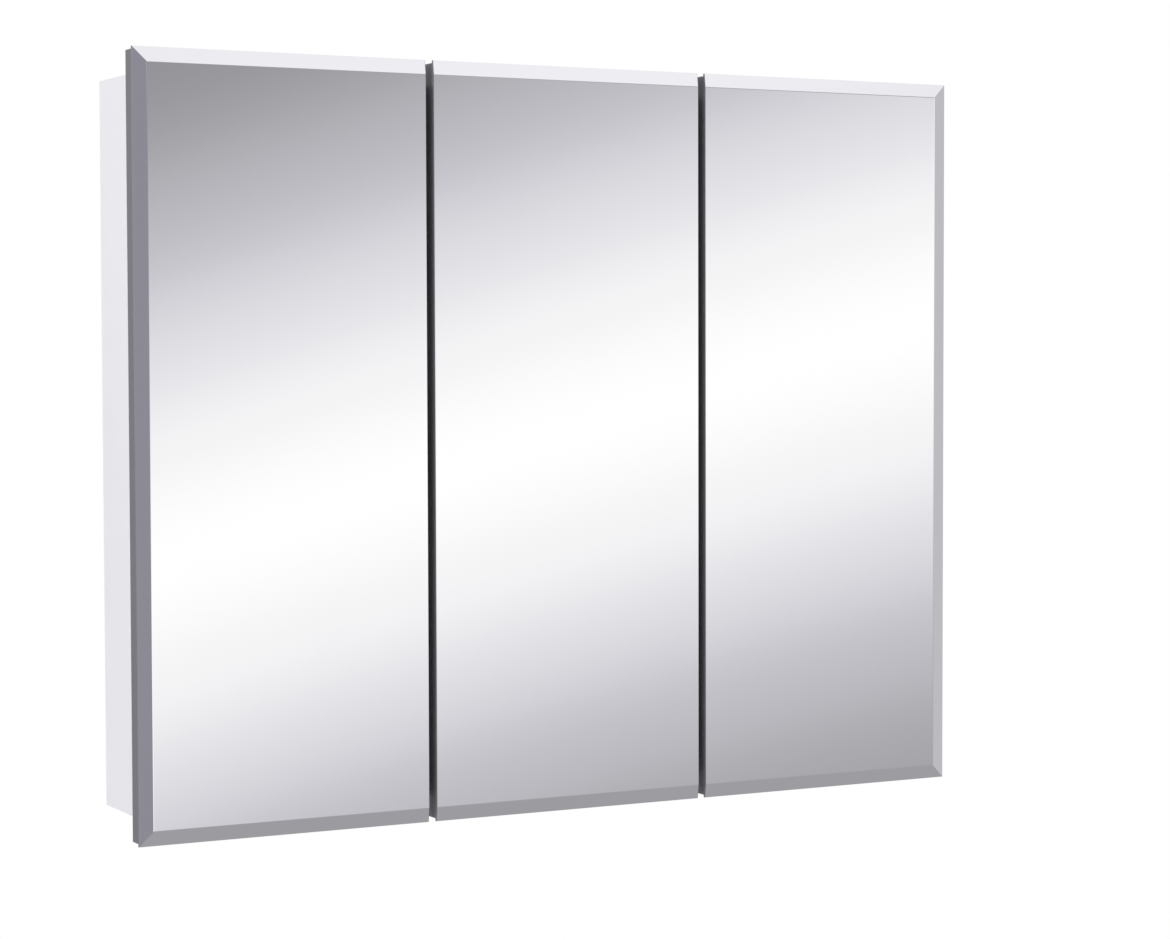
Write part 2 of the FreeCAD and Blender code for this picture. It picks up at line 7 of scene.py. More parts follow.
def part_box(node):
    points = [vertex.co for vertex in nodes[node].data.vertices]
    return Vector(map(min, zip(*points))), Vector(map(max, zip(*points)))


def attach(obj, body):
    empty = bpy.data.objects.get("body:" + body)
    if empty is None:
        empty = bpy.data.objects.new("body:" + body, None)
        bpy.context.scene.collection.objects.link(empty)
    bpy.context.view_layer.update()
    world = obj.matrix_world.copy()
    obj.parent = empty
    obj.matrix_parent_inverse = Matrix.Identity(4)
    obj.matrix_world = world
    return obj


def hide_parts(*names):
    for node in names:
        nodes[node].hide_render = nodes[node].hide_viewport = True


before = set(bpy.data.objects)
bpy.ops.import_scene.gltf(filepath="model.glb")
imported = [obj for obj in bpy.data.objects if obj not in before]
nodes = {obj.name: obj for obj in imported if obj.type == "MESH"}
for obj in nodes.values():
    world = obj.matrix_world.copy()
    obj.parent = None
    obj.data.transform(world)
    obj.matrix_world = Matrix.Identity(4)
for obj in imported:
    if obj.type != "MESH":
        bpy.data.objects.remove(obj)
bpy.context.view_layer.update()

# Camera, solved from the corners of the doors and of the case in the 1170 x 939 photograph
photoCamera = {
    "imageWidth": 1170,
    "focalPixels": 2850.28,
    "sensorWidth": 36.0,
    "place": (-1.33060, -2.66525, 0.09538),
    "yaw": 27.9017,
    "pitch": -2.4907,
    "roll": -0.1459,
    "clipEnd": 100,
}


# Right and up span the picture; the camera looks along -Z of its own axes
def makeCamera(view):
    yaw, pitch, roll = (math.radians(view[key]) for key in ("yaw", "pitch", "roll"))
    ahead = Vector((math.sin(yaw) * math.cos(pitch), math.cos(yaw) * math.cos(pitch), math.sin(pitch)))
    level = Vector((math.cos(yaw), -math.sin(yaw), 0))
    rise = level.cross(ahead)
    right = math.cos(roll) * level + math.sin(roll) * rise
    up = math.cos(roll) * rise - math.sin(roll) * level
    data = bpy.data.cameras.new("photoCamera")
    data.sensor_fit = "HORIZONTAL"
    data.sensor_width = view["sensorWidth"]
    data.lens = view["focalPixels"] / view["imageWidth"] * view["sensorWidth"]
    data.clip_end = view["clipEnd"]
    camera = bpy.data.objects.new("photoCamera", data)
    turn = Matrix((right, up, -ahead)).transposed().to_4x4()
    camera.matrix_world = Matrix.Translation(view["place"]) @ turn
    bpy.context.scene.collection.objects.link(camera)
    bpy.context.scene.camera = camera


makeCamera(photoCamera)
bpy.context.scene.view_settings.view_transform = "Standard"
print("camera: lens", round(bpy.context.scene.camera.data.lens, 2), "mm")


# Node helpers: a socket takes a value or a link, and is found by its name without spaces
def setSocket(tree, socket, value):
    if isinstance(value, bpy.types.NodeSocket):
        tree.links.new(value, socket)
    else:
        socket.default_value = value


def fillSockets(tree, node, values):
    for key, value in values.items():
        found = (s for s in node.inputs if s.enabled and s.name.replace(" ", "").lower() == key.lower())
        setSocket(tree, next(found), value)


def addNode(tree, kind, settings=None, **values):
    node = tree.nodes.new("ShaderNode" + kind)
    for key, value in (settings or {}).items():
        setattr(node, key, value)
    fillSockets(tree, node, values)
    return node


# Math and Vector Math nodes, their values given in the order of the sockets in use
def calculate(tree, kind, operation, values):
    node = addNode(tree, kind, {"operation": operation})
    sockets = [socket for socket in node.inputs if socket.enabled]
    for socket, value in zip(sockets, values):
        setSocket(tree, socket, value)
    return next(socket for socket in node.outputs if socket.enabled)


def mathNode(tree, operation, *values):
    return calculate(tree, "Math", operation, values)


def vectorNode(tree, operation, *values):
    return calculate(tree, "VectorMath", operation, values)


def mixColours(tree, factor, first, second):
    node = addNode(tree, "Mix", {"data_type": "RGBA"})
    fillSockets(tree, node, {"Factor": factor, "A": first, "B": second})
    return next(socket for socket in node.outputs if socket.enabled)


def mixShaders(tree, factor, first, second):
    node = addNode(tree, "MixShader")
    for socket, value in zip(node.inputs, (factor, first, second)):
        tree.links.new(value, socket)
    return node.outputs[0]


# Goes from low to high as the value goes from start to end, with eased ends
def eased(tree, value, start, end, low=0.0, high=1.0):
    node = addNode(
        tree, "MapRange", {"interpolation_type": "SMOOTHSTEP"},
        Value=value, FromMin=start, FromMax=end, ToMin=low, ToMax=high,
    )
    return node.outputs[0]


# Goes from low to high as the value goes from 0 to 1
def spread(tree, value, low, high):
    node = addNode(tree, "MapRange", None, Value=value, FromMin=0.0, FromMax=1.0, ToMin=low, ToMax=high)
    return node.outputs[0]


# Smooth ramp through colours at the given places
def ramped(tree, value, colours):
    node = addNode(tree, "ValToRGB", None, Fac=value)
    node.color_ramp.interpolation = "CARDINAL"
    stops = node.color_ramp.elements
    while len(stops) < len(colours):
        stops.new(0.5)
    for stop, (at, colour) in zip(stops, colours.items()):
        stop.position = at
        stop.color = colour
    return node.outputs["Color"]


def objectVector(tree, scale=(1, 1, 1)):
    place = addNode(tree, "TexCoord").outputs["Object"]
    return addNode(tree, "Mapping", None, Vector=place, Scale=scale).outputs[0]


# Object coordinates measured from a point, along turned axes, in lengths of their own
def placedVector(tree, origin, lengths, turn=(0, 0, 0)):
    place = addNode(tree, "TexCoord").outputs["Object"]
    node = addNode(
        tree, "Mapping", {"vector_type": "TEXTURE"},
        Vector=place, Location=origin, Rotation=turn, Scale=lengths,
    )
    return node.outputs[0]


# Distance from front to rear, the y of Object coordinates
def objectDepth(tree):
    place = addNode(tree, "TexCoord").outputs["Object"]
    return addNode(tree, "SeparateXYZ", None, Vector=place).outputs["Y"]


def grey(level, tint=(1, 1, 1)):
    return tuple(level * part for part in tint) + (1,)


def startMaterial(name, **values):
    material = bpy.data.materials.new(name)
    material.use_nodes = True
    tree = material.node_tree
    tree.nodes.clear()
    shader = addNode(tree, "BsdfPrincipled", None, **values)
    output = addNode(tree, "OutputMaterial")
    tree.links.new(shader.outputs[0], output.inputs["Surface"])
    return material, tree, shader


def bump(tree, height, strength, distance):
    return addNode(tree, "Bump", None, Height=height, Strength=strength, Distance=distance).outputs[0]


# Shared effects, each a node group that takes Vector and Scale, with its noise settings beside it
def startGroup(name, outputs, inputs=()):
    tree = bpy.data.node_groups.new(name, "ShaderNodeTree")
    tree.interface.new_socket(name="Vector", in_out="INPUT", socket_type="NodeSocketVector")
    for socketName in ("Scale", *inputs):
        tree.interface.new_socket(name=socketName, in_out="INPUT", socket_type="NodeSocketFloat")
    for socketName in outputs:
        tree.interface.new_socket(name=socketName, in_out="OUTPUT", socket_type="NodeSocketFloat")
    return tree, tree.nodes.new("NodeGroupInput").outputs, tree.nodes.new("NodeGroupOutput")


def closeGroup(tree, end, **values):
    fillSockets(tree, end, values)
    return tree


def useGroup(tree, group, **values):
    return addNode(tree, "Group", {"node_tree": group}, **values).outputs


# Noise at the group's own scale, or at a multiple of it
def groupNoise(tree, given, noise, times=None):
    scale = given["Scale"] if times is None else mathNode(tree, "MULTIPLY", given["Scale"], times)
    return addNode(tree, "TexNoise", None, Vector=given["Vector"], Scale=scale, **noise).outputs


pearlNoise = {
    "cloud": {"Detail": 3.0, "Roughness": 0.6},
    "cloudShare": 0.012,
    "pearl": {"Detail": 2.0, "Roughness": 0.5},
}


# Cloudy tone and fine pearl of a pressed or moulded face
def makePearl(style):
    tree, given, end = startGroup("facePearl", ("Cloud", "Pearl"))
    cloud = groupNoise(tree, given, style["cloud"], style["cloudShare"])
    pearl = groupNoise(tree, given, style["pearl"])
    return closeGroup(tree, end, Cloud=cloud[0], Pearl=pearl[0])


streakNoise = {
    "streak": {"Detail": 4.0, "Roughness": 0.65},
    "stain": {"Detail": 2.0, "Roughness": 0.5},
    "stainShare": 0.06,
}


# Fine lines left by rolling or grinding: noise on coordinates drawn out along one axis
def makeStreaks(style):
    tree, given, end = startGroup("metalStreaks", ("Streak", "Stain"))
    streak = groupNoise(tree, given, style["streak"])
    stain = groupNoise(tree, given, style["stain"], style["stainShare"])
    return closeGroup(tree, end, Streak=streak[0], Stain=stain[0])


timberNoise = {
    "ring": {"Distortion": 7.0, "Detail": 2.0, "DetailScale": 0.35, "DetailRoughness": 0.5},
    "pore": {"Detail": 3.0, "Roughness": 0.6},
    "poreShare": 14.0,
    "poreFades": (0.5, 0.7),
}


# Growth rings round the log's axis, X: each darkens outwards and ends sharply, and Bend shifts its phase
def makeTimber(style):
    tree, given, end = startGroup("timberFigure", ("Ring", "Pore"), ("Bend",))
    ring = addNode(
        tree, "TexWave", {"wave_type": "RINGS", "rings_direction": "X", "wave_profile": "SAW"},
        Vector=given["Vector"], Scale=given["Scale"], PhaseOffset=given["Bend"], **style["ring"],
    )
    pore = groupNoise(tree, given, style["pore"], style["poreShare"])
    return closeGroup(tree, end, Ring=ring.outputs["Fac"], Pore=eased(tree, pore[0], *style["poreFades"]))


chipNoise = {
    "warp": {"Detail": 2.0, "Roughness": 0.6},
    "warpShare": 0.7,
    "warpCells": 3.0,
    "hollowFades": (0.09, 0.0),
}


# Pressed wood chips of a board's unfaced edge: cells on warped coordinates, darkened where they meet by
# painted shade in the hollows
def makeChips(style):
    tree, given, end = startGroup("boardChips", ("Chip", "Hollow"))
    warp = groupNoise(tree, given, style["warp"], style["warpShare"])
    reach = mathNode(tree, "DIVIDE", style["warpCells"], given["Scale"])
    place = vectorNode(tree, "ADD", given["Vector"], vectorNode(tree, "SCALE", warp["Color"], reach))
    cells = {"Vector": place, "Scale": given["Scale"], "Randomness": 1.0}
    flake = addNode(tree, "TexVoronoi", None, **cells)
    meeting = addNode(tree, "TexVoronoi", {"feature": "DISTANCE_TO_EDGE"}, **cells)
    tone = addNode(tree, "SeparateColor", None, Color=flake.outputs["Color"]).outputs[0]
    hollowShade = eased(tree, meeting.outputs["Distance"], *style["hollowFades"])
    return closeGroup(tree, end, Chip=tone, Hollow=hollowShade)


wipeNoise = {
    "wipe": {"Detail": 4.0, "Roughness": 0.7, "Distortion": 0.8},
    "fades": (0.5, 0.75),
}


# Faint wiped patches that only change the gloss
def makeWipe(style):
    tree, given, end = startGroup("wipeMarks", ("Wipe",))
    wipe = groupNoise(tree, given, style["wipe"])
    return closeGroup(tree, end, Wipe=eased(tree, wipe[0], *style["fades"]))


pearlGroup = makePearl(pearlNoise)
streakGroup = makeStreaks(streakNoise)
timberGroup = makeTimber(timberNoise)
chipGroup = makeChips(chipNoise)
wipeGroup = makeWipe(wipeNoise)
print("node groups:", len(bpy.data.node_groups))

# Faced board: white melamine with a banded front edge and a bare rear edge
facedBoard = {
    "tone": (0.815, 0.807, 0.845),
    "cloud": 0.03,
    "gloss": (0.36, 0.5),
    "specular": 0.4,
    "pearlScale": 1500.0,
    "pearlBump": (0.25, 0.00004),
    "bandThickness": 0.0006,
    "seamWidth": 0.00018,
    "seamTone": 0.72,
    "chipScale": 420.0,
    "chipTones": ((0.36, 0.245, 0.14, 1), (0.60, 0.455, 0.29, 1)),
    # the hollows' tone is painted shade between the chips
    "hollowTone": (0.2, 0.125, 0.065, 1),
    "hollowShare": 0.7,
    "bareGloss": 0.9,
    "planeSlack": 0.00012,
}


def facedBoardMaterial(name, style, front=None, rear=None):
    material, tree, shader = startMaterial(name, SpecularIORLevel=style["specular"])
    depth = objectDepth(tree)
    cloud, pearl = useGroup(tree, pearlGroup, Vector=objectVector(tree), Scale=style["pearlScale"])
    tone = mixColours(tree, cloud, grey(1 - style["cloud"], style["tone"]), grey(1, style["tone"]))
    gloss = spread(tree, cloud, *style["gloss"])
    if front is not None:
        behind = mathNode(tree, "SUBTRACT", depth, front + style["bandThickness"])
        seam = eased(tree, mathNode(tree, "ABSOLUTE", behind), style["seamWidth"], style["seamWidth"] / 2)
        tone = mixColours(tree, seam, tone, grey(style["seamTone"], style["tone"]))
    if rear is not None:
        bare = mathNode(tree, "GREATER_THAN", depth, rear - style["planeSlack"])
        chip, hollowShade = useGroup(tree, chipGroup, Vector=objectVector(tree), Scale=style["chipScale"])
        # painted shade: the hollows between the chips are darkened in colour, with no dent in the surface
        hollowShade = mathNode(tree, "MULTIPLY", hollowShade, style["hollowShare"])
        core = mixColours(tree, hollowShade, mixColours(tree, chip, *style["chipTones"]), style["hollowTone"])
        tone = mixColours(tree, bare, tone, core)
        gloss = mathNode(tree, "MAXIMUM", gloss, mathNode(tree, "MULTIPLY", bare, style["bareGloss"]))
    fillSockets(tree, shader, {
        "BaseColor": tone,
        "Roughness": gloss,
        "Normal": bump(tree, pearl, *style["pearlBump"]),
    })
    return material


# Back panel: painted towards the shelves, bare hardboard with a screen pattern towards the wall
backBoard = {
    "paint": (0.76, 0.755, 0.77),
    "paintCloud": 0.03,
    "bareTones": ((0.225, 0.135, 0.075, 1), (0.31, 0.19, 0.108, 1)),
    "gloss": (0.5, 0.6),
    "bareGloss": 0.25,
    "specular": 0.35,
    "screenScale": 95.0,
    "screen": {"Distortion": 0.3, "Detail": 1.0},
    "screenShade": 0.35,
    "fibreScale": 700.0,
    "cloudShare": 0.22,
    "pearlShare": 0.78,
    "fibreFades": (0.3, 0.7),
    "fibreHeight": 0.25,
    "bump": (0.5, 0.0002),
    "planeSlack": 0.0002,
}


def backBoardMaterial(style, rear):
    material, tree, shader = startMaterial("paintedHardboard", SpecularIORLevel=style["specular"])
    cloud, pearl = useGroup(tree, pearlGroup, Vector=objectVector(tree), Scale=style["fibreScale"])
    bare = mathNode(tree, "GREATER_THAN", objectDepth(tree), rear - style["planeSlack"])
    waves = []
    for direction in ("X", "Z"):
        wave = addNode(
            tree, "TexWave", {"bands_direction": direction},
            Vector=objectVector(tree), Scale=style["screenScale"], **style["screen"],
        )
        waves.append(wave.outputs["Fac"])
    screen = mathNode(tree, "MULTIPLY", *waves)
    broad = mathNode(tree, "MULTIPLY", cloud, style["cloudShare"])
    fine = mathNode(tree, "MULTIPLY", pearl, style["pearlShare"])
    fibre = eased(tree, mathNode(tree, "ADD", broad, fine), *style["fibreFades"])
    shade = mathNode(tree, "MULTIPLY", screen, style["screenShade"])
    board = mixColours(tree, shade, mixColours(tree, fibre, *style["bareTones"]), style["bareTones"][0])
    paint = mixColours(tree, cloud, grey(1 - style["paintCloud"], style["paint"]), grey(1, style["paint"]))
    grain = mathNode(tree, "MULTIPLY", pearl, style["fibreHeight"])
    height = mathNode(tree, "ADD", mathNode(tree, "MULTIPLY", screen, bare), grain)
    dull = mathNode(tree, "MULTIPLY", bare, style["bareGloss"])
    fillSockets(tree, shader, {
        "BaseColor": mixColours(tree, bare, paint, board),
        "Roughness": mathNode(tree, "ADD", spread(tree, cloud, *style["gloss"]), dull),
        "Normal": bump(tree, height, *style["bump"]),
    })
    return material


# Bare timber: the log's axis passes at heart from the middle of the rear face, and knots lie on that face
pine = {
    "tones": ((0.66, 0.50, 0.315, 1), (0.46, 0.29, 0.145, 1)),
    "stretch": 14.0,
    "rings": 62.0,
}
timber = {
    "topRailPine": {
        **pine,
        "node": "top_hanging_rail",
        "heart": (0.0, -0.034, 0.010),
        "turn": (0.0, 0.010, 0.032),
        "knots": ((-0.235, 0.013), (0.318, -0.016)),
    },
    "bottomRailPine": {
        **pine,
        "node": "bottom_hanging_rail",
        "heart": (0.0, -0.041, -0.014),
        "turn": (0.0, -0.014, -0.026),
        "knots": ((0.062, 0.017), (-0.371, -0.011)),
    },
    "dowelBeech": {
        "tones": ((0.66, 0.49, 0.31, 1), (0.56, 0.40, 0.24, 1)),
        "stretch": 4.0,
        "rings": 200.0,
        "node": "carcass_dowels",
        "heart": (0.0, 0.0, 0.0),
        "turn": (0.0, 0.0, 0.0),
        "knots": (),
    },
}
timberFinish = {
    "ringPower": 2.5,
    "poreShare": 0.35,
    "poreBump": (-0.2, 0.0001),
    "gloss": (0.62, 0.78),
    "specular": 0.3,
    "knotSize": (0.0075, 10.0, 0.0052),
    "knotTones": ((0.30, 0.165, 0.075, 1), (0.19, 0.095, 0.04, 1)),
    "knotRings": 4.0,
    "knotFades": (1.12, 0.85),
    "bendFades": (3.4, 0.5),  # in radii of the knot: the rings part round it
    "bend": -8.0,
    "noKnot": 100.0,
}


def timberMaterial(name, style, finish):
    material, tree, shader = startMaterial(name, SpecularIORLevel=finish["specular"])
    low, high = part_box(style["node"])
    middle = Vector(((low.x + high.x) / 2, high.y, (low.z + high.z) / 2))
    grain = placedVector(tree, middle + Vector(style["heart"]), (style["stretch"], 1, 1), style["turn"])
    away = finish["noKnot"]
    for x, z in style["knots"]:
        place = placedVector(tree, middle + Vector((x, 0, z)), finish["knotSize"])
        away = mathNode(tree, "MINIMUM", away, vectorNode(tree, "LENGTH", place))
    bend = eased(tree, away, *finish["bendFades"], 0.0, finish["bend"])
    ring, pore = useGroup(tree, timberGroup, Vector=grain, Scale=style["rings"], Bend=bend)
    tone = mixColours(tree, mathNode(tree, "POWER", ring, finish["ringPower"]), *style["tones"])
    tone = mixColours(tree, mathNode(tree, "MULTIPLY", pore, finish["poreShare"]), tone, style["tones"][1])
    knotRing = mathNode(tree, "FRACT", mathNode(tree, "MULTIPLY", away, finish["knotRings"]))
    knot = eased(tree, away, *finish["knotFades"])
    fillSockets(tree, shader, {
        "BaseColor": mixColours(tree, knot, tone, mixColours(tree, knotRing, *finish["knotTones"])),
        "Roughness": spread(tree, ring, *finish["gloss"]),
        "Normal": bump(tree, pore, *finish["poreBump"]),
    })
    return material


# Plated steel: streaked gloss on a plain metal, draw being the streaks' scale along each axis
platedSteel = {
    "hingeNickel": {"tone": (0.66, 0.655, 0.645), "gloss": (0.16, 0.3), "draw": (60, 60, 900)},
    "cupNickel": {"tone": (0.64, 0.635, 0.63), "gloss": (0.2, 0.36), "draw": (900, 900, 60)},
    "groundPin": {"tone": (0.55, 0.55, 0.56), "gloss": (0.28, 0.4), "draw": (1500, 1500, 200)},
    "zincScrew": {"tone": (0.62, 0.62, 0.65), "gloss": (0.3, 0.48), "draw": (700, 700, 700)},
    "zincStrike": {"tone": (0.62, 0.62, 0.64), "gloss": (0.26, 0.42), "draw": (90, 1200, 1200)},
    "nickelPeg": {"tone": (0.66, 0.655, 0.64), "gloss": (0.2, 0.34), "draw": (200, 1200, 1200)},
}
platedFinish = {"stain": (0.9, 1.04), "bump": (0.12, 0.00004)}


def platedMaterial(name, style, finish):
    material, tree, shader = startMaterial(name, Metallic=1.0)
    streak, stain = useGroup(tree, streakGroup, Vector=objectVector(tree, style["draw"]), Scale=1.0)
    fillSockets(tree, shader, {
        "BaseColor": mixColours(tree, stain, *(grey(level, style["tone"]) for level in finish["stain"])),
        "Roughness": spread(tree, streak, *style["gloss"]),
        "Normal": bump(tree, streak, *finish["bump"]),
    })
    return material


# Moulded, foamed and rubbery finishes: scale and depth are those of the pearl
moulded = {
    "mountingTape": {
        "tone": (0.74, 0.74, 0.72), "cloud": 0.08, "gloss": (0.8, 0.95),
        "scale": 2600.0, "depth": 0.0002,
    },
    "doorEdgeBand": {
        "tone": (0.147, 0.143, 0.162), "cloud": 0.06, "gloss": (0.42, 0.55),
        "scale": 1600.0, "depth": 0.00004,
    },
    "catchPlastic": {
        "tone": (0.76, 0.76, 0.75), "cloud": 0.03, "gloss": (0.34, 0.46),
        "scale": 1800.0, "depth": 0.00003,
    },
    "catchMagnet": {
        "tone": (0.06, 0.06, 0.065), "cloud": 0.25, "gloss": (0.5, 0.7),
        "scale": 1400.0, "depth": 0.0001,
    },
    "bumperRubber": {
        "tone": (0.66, 0.68, 0.7), "cloud": 0.04, "gloss": (0.3, 0.42),
        "scale": 1200.0, "depth": 0.00003,
    },
}
mouldedFinish = {"specular": 0.45, "bumpStrength": 0.3}


def mouldedMaterial(name, style, finish):
    material, tree, shader = startMaterial(name, SpecularIORLevel=finish["specular"])
    cloud, pearl = useGroup(tree, pearlGroup, Vector=objectVector(tree), Scale=style["scale"])
    fillSockets(tree, shader, {
        "BaseColor": mixColours(tree, cloud, grey(1 - style["cloud"], style["tone"]), grey(1, style["tone"])),
        "Roughness": spread(tree, pearl, *style["gloss"]),
        "Normal": bump(tree, pearl, finish["bumpStrength"], style["depth"]),
    })
    return material


# Mirror: silver seen through clear glass, ground edges and a painted back
mirrorFinish = {
    "silver": (0.957, 0.957, 0.959),
    "silverGloss": (0.012, 0.03),
    "wipeScale": 9.0,
    "wipeLevel": 0.995,
    "edgeTones": ((0.13, 0.133, 0.14, 1), (0.17, 0.176, 0.183, 1)),
    "edgeGloss": (0.16, 0.3),
    "edgeDraw": (120, 2400, 120),
    "edgeBump": (0.15, 0.00004),
    "glassIor": 1.52,
    "glassSpecular": 0.5,
    "backTones": ((0.16, 0.165, 0.17, 1), (0.2, 0.205, 0.21, 1)),
    "backGloss": (0.5, 0.7),
    "backScale": 900.0,
    "backSpecular": 0.3,
}


def silverMaterial(style):
    material, tree, shader = startMaterial("silveredGlass", Metallic=1.0)
    wipe = useGroup(tree, wipeGroup, Vector=objectVector(tree), Scale=style["wipeScale"])[0]
    wiped = grey(style["wipeLevel"], style["silver"])
    fillSockets(tree, shader, {
        "BaseColor": mixColours(tree, wipe, grey(1, style["silver"]), wiped),
        "Roughness": spread(tree, wipe, *style["silverGloss"]),
    })
    return material


def glassEdgeMaterial(style):
    material, tree, shader = startMaterial(
        "groundGlassEdge", IOR=style["glassIor"], SpecularIORLevel=style["glassSpecular"],
    )
    streak = useGroup(tree, streakGroup, Vector=objectVector(tree, style["edgeDraw"]), Scale=1.0)["Streak"]
    fillSockets(tree, shader, {
        "BaseColor": mixColours(tree, streak, *style["edgeTones"]),
        "Roughness": spread(tree, streak, *style["edgeGloss"]),
        "Normal": bump(tree, streak, *style["edgeBump"]),
    })
    return material


def backPaintMaterial(style):
    material, tree, shader = startMaterial("mirrorBackPaint", SpecularIORLevel=style["backSpecular"])
    cloud, pearl = useGroup(tree, pearlGroup, Vector=objectVector(tree), Scale=style["backScale"])
    fillSockets(tree, shader, {
        "BaseColor": mixColours(tree, cloud, *style["backTones"]),
        "Roughness": spread(tree, pearl, *style["backGloss"]),
    })
    return material


# Mirror glass of a door, replacing the plain solid: bevels with a softened line, a fine arris on square edges
mirrorShape = {
    "bevelWidth": 0.014,
    "bevelDrop": 0.002,
    "softening": 0.0005,
    "arris": 0.0005,
    "inset": 0.01,  # share of the way to a triangle's middle at which its corners' normals are taken
}


# Front surface: y = front + slope * (bevelWidth - d) within the bevels, d being the distance to the nearest
# bevelled edge, eased by a parabola where the bevel meets the flat, plus (arris - e) within the arris, e
# being the distance to the nearest square edge. Its normal is (dy/dx, -1, dy/dz).
def mirrorFront(x, z, low, high, bevelSides, shape):
    slope = shape["bevelDrop"] / shape["bevelWidth"]
    soft, arris = shape["softening"], shape["arris"]
    reaches = [z - low[2], high[2] - z]
    leans = [(0, 1), (0, -1)]
    square = []
    for side, reach in ((-1, x - low[0]), (1, high[0] - x)):
        if side in bevelSides:
            reaches.append(reach)
            leans.append((-side, 0))
        else:
            square.append((reach, -side))
    lean = np.array(leans)[np.argmin(reaches, axis=0)]
    inside = shape["bevelWidth"] - np.min(reaches, axis=0)
    y = low[1] + slope * np.where(inside > soft, inside, np.clip(inside + soft, 0, None) ** 2 / (4 * soft))
    fall = slope * np.clip((inside + soft) / (2 * soft), 0, 1)
    normal = np.stack([-fall * lean[..., 0], -np.ones_like(x), -fall * lean[..., 1]], axis=-1)
    for reach, away in square:
        y = y + np.clip(arris - reach, 0, None)
        normal[..., 0] -= np.where(reach < arris, away, 0)
    normal /= np.linalg.norm(normal, axis=-1, keepdims=True)
    toSquare = np.min([reach for reach, away in square], axis=0)
    return y, normal, toSquare


# Two triangles for each cell of a grid, split along the line that runs out to the nearest corner, the mitre
def gridTriangles(columns, rows):
    column, row = np.meshgrid(np.arange(columns - 1), np.arange(rows - 1), indexing="ij")
    a = column * rows + row
    b, c, d = a + rows, a + rows + 1, a + 1
    mitre = ((2 * column < columns - 2) == (2 * row < rows - 2))[..., None]
    one = np.where(mitre, np.stack([a, b, c], axis=-1), np.stack([a, b, d], axis=-1))
    two = np.where(mitre, np.stack([a, c, d], axis=-1), np.stack([b, c, d], axis=-1))
    return np.concatenate([one.reshape(-1, 3), two.reshape(-1, 3)])


# The front on a grid with lines at the bevels and the arris, walls straight back from its rim, one rear face
def makeMirror(name, door, bevelSides, shape, materials):
    low, high = (np.array(corner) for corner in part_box(door + "_mirror"))
    bevel, soft, arris = shape["bevelWidth"], shape["softening"], shape["arris"]
    steps = np.array([0, arris, bevel - soft, bevel, bevel + soft])
    x = np.concatenate([low[0] + steps, high[0] - steps[::-1]])
    z = np.concatenate([low[2] + steps, high[2] - steps[::-1]])
    gridX, gridZ = np.meshgrid(x, z, indexing="ij")
    gridY, _, toSquare = mirrorFront(gridX, gridZ, low, high, bevelSides, shape)
    front = np.stack([gridX, gridY, gridZ], axis=-1).reshape(-1, 3)
    triangles = gridTriangles(len(x), len(z))
    index = np.arange(len(front)).reshape(len(x), len(z))
    rim = np.concatenate([index[:-1, 0], index[-1, :-1], index[:0:-1, -1], index[0, :0:-1]])
    back = front[rim].copy()
    back[:, 1] = high[1]
    far = len(front) + np.arange(len(rim))
    walls = np.stack([rim, far, np.roll(far, -1), np.roll(rim, -1)], axis=-1)
    faces = triangles.tolist() + walls.tolist() + [far[::-1].tolist()]
    onArris = (toSquare.reshape(-1) < arris / 2)[triangles].any(axis=1)
    kinds = np.concatenate([onArris, np.ones(len(walls)), [2]])  # silver, ground edge, back paint
    mesh = bpy.data.meshes.new(name)
    mesh.from_pydata(np.concatenate([front, back]).tolist(), [], faces)
    for material in materials:
        mesh.materials.append(material)
    mesh.polygons.foreach_set("material_index", kinds.astype(np.int32))
    mesh.polygons.foreach_set("use_smooth", np.arange(len(faces)) < len(triangles))
    corners = front[triangles]
    corners += shape["inset"] * (corners.mean(axis=1, keepdims=True) - corners)
    _, facing, _ = mirrorFront(corners[..., 0], corners[..., 2], low, high, bevelSides, shape)
    normals = np.zeros((len(mesh.loops), 3))
    normals[:triangles.size] = facing.reshape(-1, 3)
    mesh.normals_split_custom_set(normals.tolist())
    mesh.update()
    piece = bpy.data.objects.new(name, mesh)
    bpy.context.scene.collection.objects.link(piece)
    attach(piece, door + "_door")
    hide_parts(door + "_mirror")


mirrorMaterials = [make(mirrorFinish) for make in (silverMaterial, glassEdgeMaterial, backPaintMaterial)]
outerSides = {"left": (-1,), "centre": (), "right": (1,)}  # besides top and bottom, these edges are bevelled
for door, bevelSides in outerSides.items():
    makeMirror(door + "MirrorGlass", door, bevelSides, mirrorShape, mirrorMaterials)
print("mirrors:", len(outerSides))


# Finishes of the CAD nodes
def dress(material, *names):
    for name in names:
        slots = nodes[name].data.materials
        slots.clear()
        slots.append(material)


def named(ending):
    return [name for name in nodes if name.endswith(ending)]


caseLow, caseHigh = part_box("left_side_panel")
dress(
    facedBoardMaterial("caseMelamine", facedBoard, caseLow.y, caseHigh.y),
    "left_side_panel", "right_side_panel", "top_panel", "bottom_panel",
)
dress(
    facedBoardMaterial("dividerMelamine", facedBoard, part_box("left_divider")[0].y),
    "left_divider", "right_divider",
)
dress(facedBoardMaterial("shelfMelamine", facedBoard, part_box("left_upper_shelf")[0].y), *named("_shelf"))
dress(facedBoardMaterial("doorMelamine", facedBoard), *named("_door_board"))
dress(backBoardMaterial(backBoard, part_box("back_panel")[1].y), "back_panel")
for name, style in timber.items():
    dress(timberMaterial(name, style, timberFinish), style["node"])
metals = {name: platedMaterial(name, style, platedFinish) for name, style in platedSteel.items()}
dress(metals["hingeNickel"], *named("_hinge_arm"), *named("_hinge_plate"))
dress(metals["cupNickel"], *named("_hinge_cup"))
dress(metals["groundPin"], "hinge_pins")
dress(metals["zincScrew"], "hinge_plate_screws", "hinge_arm_screws", "catch_screws", *named("_door_screws"))
dress(metals["zincStrike"], *named("_strike_plate"))
dress(metals["nickelPeg"], "shelf_pins")
mouldings = {name: mouldedMaterial(name, style, mouldedFinish) for name, style in moulded.items()}
